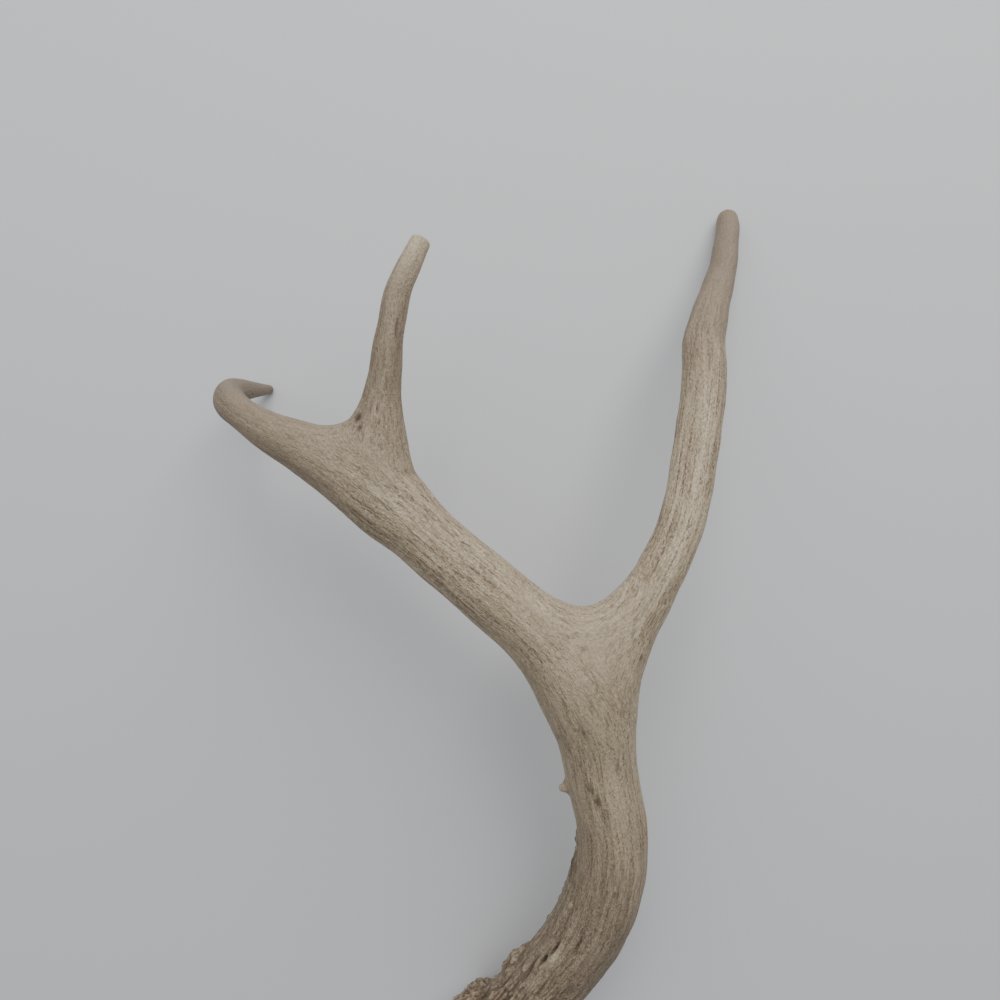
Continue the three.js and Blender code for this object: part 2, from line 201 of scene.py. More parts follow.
class Stem:
    """A round stem that bends and tapers through its stations."""

    def __init__(self, stations):
        self.stations = np.array(stations, float)
        self.last = len(stations) - 1
        samples = self.at(np.linspace(0, self.last, self.last * SAMPLES_PER_STATION + 1))
        self.middles, self.radii = samples[:, :3], samples[:, 3]
        self.runs = np.diff(self.middles, axis=0)
        self.along = np.concatenate([[0], np.cumsum(np.linalg.norm(self.runs, axis=1))])
        self.sides = self.untwisted_sides()

    def at(self, stations):
        """Middle and radius at station numbers, which need not be whole."""
        known = self.stations
        padded = np.vstack([2 * known[0] - known[1], known, 2 * known[-1] - known[-2]])
        whole = np.minimum(stations.astype(int), self.last - 1)
        t = (stations - whole)[:, None]
        a, b, c, d = (padded[whole + k] for k in range(4))
        leaving, arriving = (c - a) / 2, (d - b) / 2
        bend = (3 * (c - b) - 2 * leaving - arriving) * t**2
        return b + leaving * t + bend + (2 * (b - c) + leaving + arriving) * t**3

    def untwisted_sides(self):
        """A direction square to the stem at every sample, that turns no more than the stem does."""
        side = np.array([0.0, 0.0, 1.0])
        sides = []
        for run in [*self.runs, self.runs[-1]]:
            ahead = unit(run)
            side = unit(side - ahead * (side @ ahead))
            sides.append(side)
        return np.array(sides)

    def nearest(self, points):
        """Distance of each point to the skin, and the run of the stem beside it with the share along it."""
        skin = np.full(len(points), NEAR)
        beside = np.zeros(len(points), int)
        share = np.zeros(len(points))
        for i, run in enumerate(self.runs):
            start, end = self.middles[i], self.middles[i + 1]
            room = max(self.radii[i], self.radii[i + 1]) + NEAR
            boxed = (points > np.minimum(start, end) - room) & (points < np.maximum(start, end) + room)
            close = np.flatnonzero(boxed.all(axis=1))
            offset = points[close] - start
            part = np.clip(offset @ run / (run @ run), 0, 1)
            away = np.linalg.norm(offset - part[:, None] * run, axis=1)
            away -= self.radii[i] + part * (self.radii[i + 1] - self.radii[i])
            better = away < skin[close]
            hit = close[better]
            skin[hit], beside[hit], share[hit] = away[better], i, part[better]
        return skin, beside, share

    def distance(self, points):
        return self.nearest(points)[0]

    def straightened(self, points):
        """Distance to the skin, each place across and along the stem, and the stem's direction."""
        skin, beside, share = self.nearest(points)
        part = share[:, None]
        offset = points - self.middles[beside] - part * self.runs[beside]
        side = self.sides[beside] * (1 - part) + self.sides[beside + 1] * part
        ahead = self.runs[beside] / np.linalg.norm(self.runs[beside], axis=1)[:, None]
        other = np.cross(ahead, side)
        along = self.along[beside] + share * (self.along[beside + 1] - self.along[beside])
        across = [(offset * side).sum(axis=1), (offset * other).sum(axis=1)]
        return skin, np.stack([*across, along], axis=1), ahead


def blended(a, b, reach):
    """The smaller of two distances, with the corner between them filled over the given reach."""
    overlap = np.maximum(reach - np.abs(a - b), 0) / reach
    return np.minimum(a, b) - overlap * overlap * reach / 4


MAIN = Stem(MAIN_BEAM)
REAR = Stem(REAR_TINE)
UPPER = Stem(UPPER_TINE)
BURR_MIDDLE = MAIN.middles[0]
BURR_AXIS = unit(MAIN.stations[1, :3] - MAIN.stations[0, :3])
TINE_END = UPPER.middles[-1]
TINE_END_AXIS = unit(UPPER.stations[-1, :3] - UPPER.stations[-2, :3])


def from_burr(points):
    """How far points are up the burr's axis, and out from it."""
    offset = points - BURR_MIDDLE
    height = offset @ BURR_AXIS
    return height, np.sqrt(np.maximum((offset**2).sum(axis=1) - height**2, 0))


def seal_height(height, outwards):
    """Height above the shallow dome where the antler dropped off the skull."""
    return height + SEAL["depth"] - np.minimum(outwards, SEAL["radius"]) ** 2 / (2 * SEAL["dome"])


def swell(points):
    """The slow uneven swelling of grown bone."""
    x, y, z = points.T * (2 * np.pi / SWELL["length"])
    crossing = np.sin(x + 0.4 * y) * np.sin(y - 0.3 * z + 1.3)
    return SWELL["height"] * (crossing + np.sin(z + 0.5 * x + 2.1)) / 2


def forked_skin(points):
    """Distance to the antler without its brow spur, negative inside the bone."""
    with_rear = blended(MAIN.distance(points), REAR.distance(points), FIRST_FORK_WEB)
    forked = blended(with_rear, UPPER.distance(points), SECOND_FORK_WEB)
    height, outwards = from_burr(points)
    disc = np.hypot(np.maximum(outwards - BURR["disc"], 0), height - BURR["rim_height"]) - BURR["rim"]
    with_burr = blended(forked, disc, BURR["blend"])
    sealed = -blended(-with_burr, seal_height(height, outwards), SEAL["edge"])
    past_end = (points - TINE_END) @ TINE_END_AXIS
    near_end = np.linalg.norm(points - TINE_END, axis=1) < BROKEN_END["reach"]
    trimmed = np.where(near_end, -blended(-sealed, -past_end, BROKEN_END["edge"]), sealed)
    return trimmed - swell(points)


def around(axis, angle):
    """A direction square to an axis, turned from the +Z side of it towards the front of the antler."""
    up = unit(np.array([0.0, 0.0, 1.0]) - np.array(axis) * axis[2])
    return np.array(Quaternion(Vector(axis), -angle) @ Vector(up))


STATION_STEP = 0.01
INSIDE_REACH = 40.0
HALVINGS = 16


def on_main(station):
    """The middle and the direction of the main beam at a station."""
    before, middle, after = MAIN.at(station + STATION_STEP * np.array([-1, 0, 1]))[:, :3]
    return middle, unit(after - before)


def to_skin(start, direction):
    """How far the skin is from an inner point, in one direction."""
    inner, outer = 0.0, INSIDE_REACH
    for _ in range(HALVINGS):
        middle = (inner + outer) / 2
        inside = forked_skin((start + middle * direction)[None, :])[0] < 0
        inner, outer = (middle, outer) if inside else (inner, middle)
    return inner


@functools.cache
def brow_spur():
    """The short blunt spur on the front edge of the beam."""
    middle, axis = on_main(SPUR["station"])
    outwards = around(axis, np.pi / 2)
    skin = middle + outwards * to_skin(middle, outwards)
    root = skin - outwards * SPUR["root"]
    tip = skin + outwards * SPUR["tip"]
    return Stem([[*root, SPUR["root_radius"]], [*tip, SPUR["tip_radius"]]])


def bare_skin(points):
    """Distance to the bare antler, negative inside the bone."""
    return blended(forked_skin(points), brow_spur().distance(points), SPUR["blend"])


# ---------------------------------------------------------------- meshes and noise

GRID_MARGIN = 6
SLOPE_STEP = 0.2


def mesh_of(name, vertices, faces):
    """A mesh of given vertices and faces."""
    mesh = bpy.data.meshes.new(name)
    mesh.from_pydata(vertices, [], faces)
    mesh.update()
    return mesh


def shown(mesh, name):
    """A mesh as an object of the scene."""
    thing = bpy.data.objects.new(name, mesh)
    bpy.context.scene.collection.objects.link(thing)
    return thing


def plain_mesh(thing):
    """The mesh that an object's modifiers make, on its own. The object is taken away."""
    evaluated = thing.evaluated_get(bpy.context.evaluated_depsgraph_get())
    made = bpy.data.meshes.new_from_object(evaluated)
    thing.modifiers.clear()
    bpy.data.objects.remove(thing)
    return made


def vertex_array(mesh, what="co"):
    """The places or the normals of a mesh's vertices."""
    source = mesh.vertex_normals if what == "normal" else mesh.vertices
    values = np.empty(len(mesh.vertices) * 3, np.float32)
    source.foreach_get("vector" if what == "normal" else "co", values)
    return values.reshape(-1, 3).astype(float)


def set_vertices(mesh, points):
    """Moves a mesh's vertices to new places."""
    mesh.vertices.foreach_set("co", points.astype(np.float32).ravel())
    mesh.update()


def set_attribute(mesh, name, values):
    """A number or a vector for every vertex."""
    kind, field = ("FLOAT_VECTOR", "vector") if values.ndim == 2 else ("FLOAT", "value")
    attribute = mesh.attributes.new(name, kind, "POINT")
    attribute.data.foreach_set(field, values.astype(np.float32).ravel())


def wrapped(field, low, high, step):
    """A closed skin of quads round the inside of a field, with a vertex in each grid cell it passes."""
    axes = [np.arange(start, end + step, step) for start, end in zip(low, high)]
    grid = np.stack(np.meshgrid(*axes, indexing="ij"), axis=-1)
    inside = (field(grid.reshape(-1, 3)) < 0).reshape(grid.shape[:3])
    cells = np.array(inside.shape) - 1
    corners = [
        inside[x : x + cells[0], y : y + cells[1], z : z + cells[2]]
        for x, y, z in itertools.product((0, 1), repeat=3)
    ]
    filled = sum(corner.astype(int) for corner in corners)
    passed = (filled > 0) & (filled < 8)
    number = np.full(passed.shape, -1)
    number[passed] = np.arange(passed.sum())
    vertices = grid[0, 0, 0] + (np.argwhere(passed) + 0.5) * step
    faces = []
    for axis in range(3):
        across, up = (np.eye(3, dtype=int)[(axis + turn) % 3] for turn in (1, 2))
        before = np.take(inside, range(cells[axis]), axis=axis)
        after = np.take(inside, range(1, cells[axis] + 1), axis=axis)
        for leaving, order in ((before & ~after, 1), (~before & after, -1)):
            node = np.argwhere(leaving)
            ring = [node, node - across, node - across - up, node - up]
            faces.append(np.stack([number[tuple(cell.T)] for cell in ring], axis=1)[:, ::order])
    return vertices, np.concatenate(faces)


def settled(points, rounds):
    """Points moved onto the bare skin."""
    for _ in range(rounds):
        here = bare_skin(points)
        nudged = [bare_skin(points + nudge) for nudge in np.eye(3) * SLOPE_STEP]
        slope = np.stack([(there - here) / SLOPE_STEP for there in nudged], axis=1)
        points = points - slope * (here / (slope**2).sum(axis=1))[:, None]
    return points


LATTICE = 4096
LATTICE_PRIMES = np.array([73856093, 19349663, 83492791])
NOISE_GAIN = 1.6


def noise(points, seed):
    """Smooth noise between about -1 and 1, with one hill or hollow to each unit of length."""
    generator = np.random.default_rng(seed)
    slopes = generator.normal(size=(LATTICE, 3))
    slopes /= np.linalg.norm(slopes, axis=1)[:, None]
    cell = np.floor(points).astype(np.int64)
    part = points - cell
    fade = part**3 * (part * (part * 6 - 15) + 10)
    total = np.zeros(len(points))
    for corner in itertools.product((0, 1), repeat=3):
        x, y, z = ((cell + corner) * LATTICE_PRIMES).T
        slope = slopes[(x ^ y ^ z) % LATTICE]
        weight = np.prod(np.where(corner, fade, 1 - fade), axis=1)
        total += weight * (slope * (part - corner)).sum(axis=1)
    return total * NOISE_GAIN


def drawn_out(grain, width, length, seed):
    """Noise drawn out along the grain."""
    return noise(grain / [width, width, length], seed)


def lumpy(points, height, size, seed):
    """Noise of a height, with lumps of a size."""
    return height * noise(points / size, seed)


# ---------------------------------------------------------------- lumps of bone, by geometry nodes


def add(tree, kind, inputs=None, **settings):
    """A node with its settings. Each input is a value, or the output that feeds it."""
    made = tree.nodes.new(kind)
    for name, value in settings.items():
        setattr(made, name, value)
    for name, value in (inputs or {}).items():
        socket = next((s for s in made.inputs if s.identifier == name), None) or made.inputs[name]
        if isinstance(value, bpy.types.NodeSocket):
            tree.links.new(value, socket)
        else:
            socket.default_value = value
    return made


def by_identifier(sockets, identifier):
    """The socket with an identifier, where several share a name."""
    return next(socket for socket in sockets if socket.identifier == identifier)


def new_tree(name, kind, inputs, outputs):
    """A node group with named inputs, each with its default, and named outputs."""
    tree = bpy.data.node_groups.new(name, kind)
    for label, (socket, default) in inputs.items():
        made = tree.interface.new_socket(name=label, in_out="INPUT", socket_type=socket)
        if default is not None:
            made.default_value = default
    for label, socket in outputs.items():
        tree.interface.new_socket(name=label, in_out="OUTPUT", socket_type=socket)
    return tree, tree.nodes.new("NodeGroupInput"), tree.nodes.new("NodeGroupOutput")


def grown(tree, points, rotation_axis, size, stretch, material):
    """Instances of a rounded lump on points, lengthened along an axis and made plain."""
    ball = add(tree, "GeometryNodeMeshIcoSphere", {"Radius": 1.0, "Subdivisions": 3})
    turned = add(tree, "FunctionNodeAlignRotationToVector", {"Vector": rotation_axis}, axis="Z")
    length = add(tree, "ShaderNodeMath", {0: size, 1: stretch}, operation="MULTIPLY")
    scale = add(tree, "ShaderNodeCombineXYZ", {"X": size, "Y": size, "Z": length.outputs[0]})
    placed = add(
        tree,
        "GeometryNodeInstanceOnPoints",
        {
            "Points": points,
            "Instance": ball.outputs["Mesh"],
            "Rotation": turned.outputs[0],
            "Scale": scale.outputs[0],
        },
    )
    real = add(tree, "GeometryNodeRealizeInstances", {"Geometry": placed.outputs[0]})
    return add(tree, "GeometryNodeSetMaterial", {"Geometry": real.outputs[0], "Material": material})


def named(tree, name, kind):
    """A vertex attribute in a geometry nodes tree."""
    return add(tree, "GeometryNodeInputNamedAttribute", {"Name": name}, data_type=kind).outputs[0]


@functools.cache
def placed_lumps_tree():
    """Lumps on points that carry their own size and axis."""
    inputs = {
        "Points": ("NodeSocketGeometry", None),
        "Stretch": ("NodeSocketFloat", 1.0),
        "Bone": ("NodeSocketMaterial", None),
    }
    outputs = {"Lumps": "NodeSocketGeometry"}
    tree, given, result = new_tree("placed_lumps", "GeometryNodeTree", inputs, outputs)
    take = given.outputs
    axis = named(tree, "axis", "FLOAT_VECTOR")
    size = named(tree, "size", "FLOAT")
    lumps = grown(tree, take["Points"], axis, size, take["Stretch"], take["Bone"])
    tree.links.new(lumps.outputs[0], result.inputs[0])
    return tree


@functools.cache
def scattered_pearls_tree():
    """Small pearls scattered over a skin as thickly as its crowding attribute says."""
    inputs = {
        "Skin": ("NodeSocketGeometry", None),
        "Smallest": ("NodeSocketFloat", 0.7),
        "Largest": ("NodeSocketFloat", 1.5),
        "Sunk": ("NodeSocketFloat", 0.5),
        "Stretch": ("NodeSocketFloat", 1.6),
        "Seed": ("NodeSocketInt", 0),
        "Bone": ("NodeSocketMaterial", None),
    }
    outputs = {"Pearls": "NodeSocketGeometry"}
    tree, given, result = new_tree("scattered_pearls", "GeometryNodeTree", inputs, outputs)
    take = given.outputs
    crowding = named(tree, "crowding", "FLOAT")
    spread = add(
        tree,
        "GeometryNodeDistributePointsOnFaces",
        {"Mesh": take["Skin"], "Density": crowding, "Seed": take["Seed"]},
    )
    random = add(
        tree,
        "FunctionNodeRandomValue",
        {"Min_001": take["Smallest"], "Max_001": take["Largest"], "Seed": take["Seed"]},
        data_type="FLOAT",
    )
    size = by_identifier(random.outputs, "Value_001")
    depth = add(tree, "ShaderNodeMath", {0: take["Sunk"], 1: -1.0}, operation="MULTIPLY")
    inwards = add(
        tree,
        "ShaderNodeVectorMath",
        {0: spread.outputs["Normal"], "Scale": depth.outputs[0]},
        operation="SCALE",
    )
    sunk = add(
        tree,
        "GeometryNodeSetPosition",
        {"Geometry": spread.outputs["Points"], "Offset": inwards.outputs[0]},
    )
    axis = named(tree, "grain_axis", "FLOAT_VECTOR")
    pearls = grown(tree, sunk.outputs[0], axis, size, take["Stretch"], take["Bone"])
    tree.links.new(pearls.outputs[0], result.inputs[0])
    return tree


def with_nodes(mesh, name, tree, **values):
    """The plain mesh that a geometry nodes tree makes of a mesh, with named inputs."""
    thing = shown(mesh, name)
    modifier = thing.modifiers.new(name, "NODES")
    modifier.node_group = tree
    for item in tree.interface.items_tree:
        if item.in_out == "INPUT" and item.name.lower() in values:
            modifier[item.identifier] = values[item.name.lower()]
    return plain_mesh(thing)


SHUFFLE = {"index": 12.9898, "salt": 78.233, "gain": 43758.5453}


def uneven(index, salt):
    """A repeatable number from 0 to 1 that looks random."""
    return abs(np.sin(index * SHUFFLE["index"] + salt * SHUFFLE["salt"]) * SHUFFLE["gain"]) % 1


def knob_places():
    """The knobs that stand round the burr: middle, axis and size."""
    for i in range(KNOBS["count"]):
        angle = 2 * np.pi * (i + KNOBS["shift"] * uneven(i, 1)) / KNOBS["count"]
        size = KNOBS["radius"] * (KNOBS["smallest"] + KNOBS["range"] * uneven(i, 2))
        outwards = around(BURR_AXIS, angle) * (KNOBS["circle"] + uneven(i, 7))
        upwards = BURR_AXIS * (KNOBS["lowest"] + KNOBS["rise"] * uneven(i, 3))
        yield BURR_MIDDLE + outwards + upwards, BURR_AXIS, size


def pearl_places():
    """The larger pearls, crowded round the foot of the beam and thinning out along its front edge."""
    for i in range(PEARLS["count"]):
        share = (i + uneven(i, 4)) / PEARLS["count"]
        middle, axis = on_main(PEARLS["from"] + (PEARLS["to"] - PEARLS["from"]) * share * share)
        spread = np.pi + (PEARLS["spread"] - np.pi) * share ** PEARLS["gather"]
        outwards = around(axis, np.radians(PEARLS["turn"]) + spread * (2 * uneven(i, 5) - 1))
        size = PEARLS["radius"] + PEARLS["growth"] * uneven(i, 6) * (1 - share)
        yield middle + outwards * (to_skin(middle, outwards) - PEARLS["sunk"] * size), axis, size


def shoulder_places():
    """Lumps that step the front edge of the beam out, a little above the burr."""
    for station, size in zip(SHOULDER["stations"], SHOULDER["radii"]):
        middle, axis = on_main(station)
        outwards = around(axis, np.radians(SHOULDER["turn"]))
        yield middle + outwards * (to_skin(middle, outwards) - SHOULDER["sunk"] * size), axis, size


def lumps(name, places, stretch, bone):
    """Lumps of one kind as a plain mesh."""
    middles, axes, sizes = zip(*places)
    points = mesh_of(name, [tuple(middle) for middle in middles], [])
    set_attribute(points, "axis", np.array(axes))
    set_attribute(points, "size", np.array(sizes))
    return with_nodes(points, name, placed_lumps_tree(), stretch=stretch, bone=bone)


# ---------------------------------------------------------------- the skin of the whole antler

BARE_STEP = 2.8
# Small pearls crowd round the burr, from just above the seal, and thin out along the front of the beam.
PEARL_ZONE = {
    "crowding": 0.03,
    "burr_start": 6,
    "burr_end": 34.0,
    "front_start": 70,
    "front_end": 135.0,
    "front_share": 0.6,
    "off_stem": 12.0,
    "sunk": 0.55,
}
FACING_FRONT = (0.55, 0.95)
CLEAR_OF_SEAL = (3, 6)


def bare_mesh():
    """The bare antler as a smooth closed mesh."""
    low = np.array(CAD_BOX[0]) / MILLIMETRE - GRID_MARGIN
    high = np.array(CAD_BOX[1]) / MILLIMETRE + GRID_MARGIN
    vertices, faces = wrapped(bare_skin, low, high, BARE_STEP)
    mesh = mesh_of("bare", settled(vertices, rounds=3).tolist(), faces.tolist())
    thing = shown(mesh, "bare")
    finer = thing.modifiers.new("finer", "SUBSURF")
    finer.levels = finer.render_levels = 1
    mesh = plain_mesh(thing)
    set_vertices(mesh, settled(vertex_array(mesh), rounds=2))
    return mesh


def joined(meshes, name):
    """Several meshes as one."""
    bm = bmesh.new()
    for mesh in meshes:
        bm.from_mesh(mesh)
    whole = bpy.data.meshes.new(name)
    bm.to_mesh(whole)
    bm.free()
    return whole


def pearled_mesh(bone):
    """The bare antler with its knobs and pearls, still as separate overlapping lumps."""
    skin = bare_mesh()
    points = vertex_array(skin)
    main_skin, grain, ahead = MAIN.straightened(points)
    along = grain[:, 2]
    on_front = smoothstep(*FACING_FRONT, -vertex_array(skin, "normal")[:, 0])
    near_burr = 1 - smoothstep(PEARL_ZONE["burr_start"], PEARL_ZONE["burr_end"], along)
    up_front = on_front * (1 - smoothstep(PEARL_ZONE["front_start"], PEARL_ZONE["front_end"], along))
    above_seal = smoothstep(*CLEAR_OF_SEAL, seal_height(*from_burr(points)))
    lower = (main_skin < PEARL_ZONE["off_stem"]) * above_seal
    crowded = np.maximum(near_burr, PEARL_ZONE["front_share"] * up_front)
    set_attribute(skin, "crowding", PEARL_ZONE["crowding"] * lower * crowded)
    set_attribute(skin, "grain_axis", ahead)
    scatter = {"seed": 7, "sunk": PEARL_ZONE["sunk"], "bone": bone}
    small = with_nodes(skin.copy(), "small_pearls", scattered_pearls_tree(), **scatter)
    parts = [
        skin,
        small,
        lumps("knobs", knob_places(), KNOBS["stretch"], bone),
        lumps("pearls", pearl_places(), PEARLS["stretch"], bone),
        lumps("shoulder", shoulder_places(), SHOULDER["stretch"], bone),
    ]
    return joined(parts, "pearled")


def fused_mesh(bone, grain_size):
    """The antler as one closed skin of small even quads."""
    thing = shown(pearled_mesh(bone), "fused")
    remesh = thing.modifiers.new("fuse", "REMESH")
    remesh.mode = "VOXEL"
    remesh.voxel_size = grain_size
    soften = thing.modifiers.new("soften", "SMOOTH")
    soften.factor = 0.5
    soften.iterations = 2
    return plain_mesh(thing)


# ---------------------------------------------------------------- furrows, grooves and marks

# Each kind of furrow: its height, width, length and noise seed.
FURROWS = {"broad": (0.22, 4.2, 34, 11), "fine": (0.12, 2.1, 12, 12), "fibre": (0.08, 1.1, 4, 15)}
# Grooves run where the noise of their lines is nearly nothing, in patches where another noise is high.
GROOVES = {"depth": 0.4, "width": 0.16, "lines": (5.5, 30, 13), "patches": (9, 18, 14), "patch_edge": 0.5}
# How deep the grooves are, by distance along the main beam, and on the stems that fork off it.
GROOVE_DEPTHS = [(0, 0.9), (60, 1.0), (170, 0.9), (230, 0.35), (500, 0.2)]
SIDE_GROOVE_DEPTH = 0.35
# In the crotch of the first fork the grain runs round the crotch, from one arm to the other.
CROTCH = {"centre": (40.8, 35.2), "inner": 19.0, "outer": 37.0, "deep": 0.7}
# How far to either side of the line between two stems the grain of both still mixes.
GRAIN_BLEND = 7
# Keeps the upper tine's noise apart from the rear tine's.
UPPER_SHIFT = [40, 0, 0]

# The rough bone round the burr: height, size and noise seed of its lumps, then height, width, length and
# noise seed of its fibres.
COARSE_LUMPS = (0.9, 4.2, 21)
FINE_LUMPS = (0.4, 1.4, 22)
FIBRES = (1.2, 2.0, 11, 25)
ROUGH_BONE = {"full": 8, "end": 92.0, "fade": 1.4}
# Where the seal's skin ends above its dome, and the height, size and noise seed of its grain.
SEAL_EDGE = (0.2, 1.6)
SEAL_GRAIN = [(0.3, 1.5, 23), (0.4, 5.0, 24)]
# How far from each tip its bone is still worn in full, and how far in part.
WORN_HOOK = (15, 70)
WORN_REAR = (20, 90)
# How much wear and calm smooth the furrows.
WORN_SMOOTHING = 0.5
CALM_SMOOTHING = 0.4

# How weathered and dark the bone is, by distance along each stem.
MAIN_WEATHERED = [
    (0, 0.92), (80, 0.8), (120, 0.61), (155, 0.2), (190, 0.08), (215, 0.2),
    (240, 0.1), (293, 0.08), (344, 0.4), (375, 0.75), (420, 1), (477, 1.1),
]
REAR_WEATHERED = [(0, 0.2), (50, 0), (100, 0.12), (150, 0.32), (180, 0.75), (250, 0.75)]
UPPER_WEATHERED = [(0, 0.4), (25, 0.58), (60, 0.92), (90, 0.85), (112, 0.32)]

# How calm and even its marks are, by distance along each stem and round the middle of the first fork.
MAIN_CALM = [
    (0, 0), (80, 0.1), (120, 0.4), (165, 0.55), (225, 0.55),
    (265, 0.35), (293, 0), (330, 0.35), (365, 0.8), (477, 1),
]
REAR_CALM = [(0, 0.5), (50, 0), (140, 0.15), (190, 0.6), (250, 0.8)]
UPPER_CALM = [(0, 0.3), (50, 0.5), (112, 0.6)]
FORK_CALM = {"middle": (46.0, 2.0), "reach": 24.0, "most": 0.75}

# Marks of its life on the bone: x, y, z, length along the grain, width, depth and stain. A depth below
# nothing raises the bone, and a stain below nothing bleaches it. Each mark drops onto the skin's nearest
# point, where the drop itself counts little.
MARK_DROP = [1, 1, 0.2]
MARKS = [
    [45.1, -59.3, 73.0, 4.5, 1.8, 0.1, 0.6],
    [48.1, -65.0, 72.5, 4.0, 1.9, 0.15, 0.75],
    [51.0, -73.3, 71.0, 8.0, 1.2, 0.1, 0.4],
    [-53.2, 100.6, 88.0, 2.2, 1.8, 0.5, 1.0],
    [-52.0, 96.2, 88.0, 3.0, 1.0, 0.3, 0.8],
    [-45.0, 104.5, 89.0, 3.0, 0.5, 0.3, 0.7],
    [-37.7, 138.7, 87.0, 4.5, 0.8, 0.15, 0.6],
    [-67.8, 77.7, 91.0, 5.0, 0.5, 0.1, 0.5],
    [40.7, 4.0, 83.0, 1.5, 1.6, 0.1, 0.5],
    [32.4, -18.9, 80.0, 6.0, 0.7, 0.15, 0.55],
    [40.4, -32.0, 79.0, 7.0, 0.9, 0.15, 0.55],
    [30.5, -140.5, 57.0, 3.6, 0.7, 1.8, 1.0],
    [25.2, -147.0, 53.0, 3.2, 0.9, 1.8, 1.0],
    [20.5, -151.5, 53.0, 6.0, 0.7, 0.8, 0.8],
    [41.0, -134.0, 60.0, 9.0, 0.9, 0.4, 0.5],
    [-4.5, -177.0, 36.0, 4.0, 3.0, 1.0, 1.0],
    [30.0, -144.6, 57.0, 6.0, 1.9, -0.8, -0.6],
    [22.0, -157.0, 53.0, 7.0, 2.6, -0.4, -0.35],
    [39.5, -100.3, 52.0, 9.0, 2.2, -0.7, 0.7],
    [41.1, -90.7, 52.0, 1.8, 1.4, -1.1, 0.8],
    [59.5, -153.3, 42.0, 2.4, 2.0, -1.8, 0.3],
    [53.5, -161.8, 40.0, 2.4, 2.0, -1.8, 0.3],
]


def relief(grain, deep):
    """Height of the lengthwise furrows and grooves, at places in a stem's straightened frame."""
    furrows = sum(height * drawn_out(grain, *shape) for height, *shape in FURROWS.values())
    line = drawn_out(grain, *GROOVES["lines"])
    here = smoothstep(0.0, GROOVES["patch_edge"], drawn_out(grain, *GROOVES["patches"]))
    groove = np.exp(-((line / GROOVES["width"]) ** 2)) * here * deep
    return furrows - GROOVES["depth"] * groove


def crags(points, grain):
    """Height of the rough, fibrous bone round the burr."""
    height, *shape = FIBRES
    ridges = 1 - 2 * np.abs(drawn_out(grain, *shape))
    return lumpy(points, *COARSE_LUMPS) + height * (ridges - 0.5) + lumpy(points, *FINE_LUMPS)


def round_crotch(points):
    """Each point in a frame that follows the crotch, and how far its grain follows it too."""
    offset = points[:, :2] - CROTCH["centre"]
    outwards = np.linalg.norm(offset, axis=1)
    turned = np.arctan2(offset[:, 0], -offset[:, 1]) * CROTCH["inner"]
    share = 1 - smoothstep(CROTCH["inner"], CROTCH["outer"], outwards)
    return np.stack([outwards, points[:, 2], turned], axis=1), share


def marks(points, ahead):
    """How deep the marks go at each point of the skin, and how much they stain it."""
    depth, stain = np.zeros(len(points)), np.zeros(len(points))
    for *middle, length, width, deep, dark in MARKS:
        off_skin = (((points - middle) * MARK_DROP) ** 2).sum(axis=1)
        offset = points - points[off_skin.argmin()]
        along = (offset * ahead).sum(axis=1)
        across = np.maximum((offset**2).sum(axis=1) - along**2, 0)
        share = np.exp(-((along / length) ** 2) - across / width**2)
        depth += deep * share
        stain = np.where(np.abs(dark) * share > np.abs(stain), dark * share, stain)
    return depth, stain


def neighbour_mean(mesh, values, rounds):
    """Values at a mesh's vertices, each replaced by the mean of its neighbours' a number of times."""
    edges = np.empty(len(mesh.edges) * 2, np.int32)
    mesh.edges.foreach_get("vertices", edges)
    edges = edges.reshape(-1, 2)
    here, there = np.concatenate([edges, edges[:, ::-1]]).T
    count = np.bincount(here, minlength=len(values))
    for _ in range(rounds):
        columns = [np.bincount(here, column[there], len(values)) / count for column in values.T]
        values = np.stack(columns, axis=1)
    return values


def along_stem(profile, distance):
    """A value at distances along a stem, from the few places where it is given."""
    return np.interp(distance, *zip(*profile))


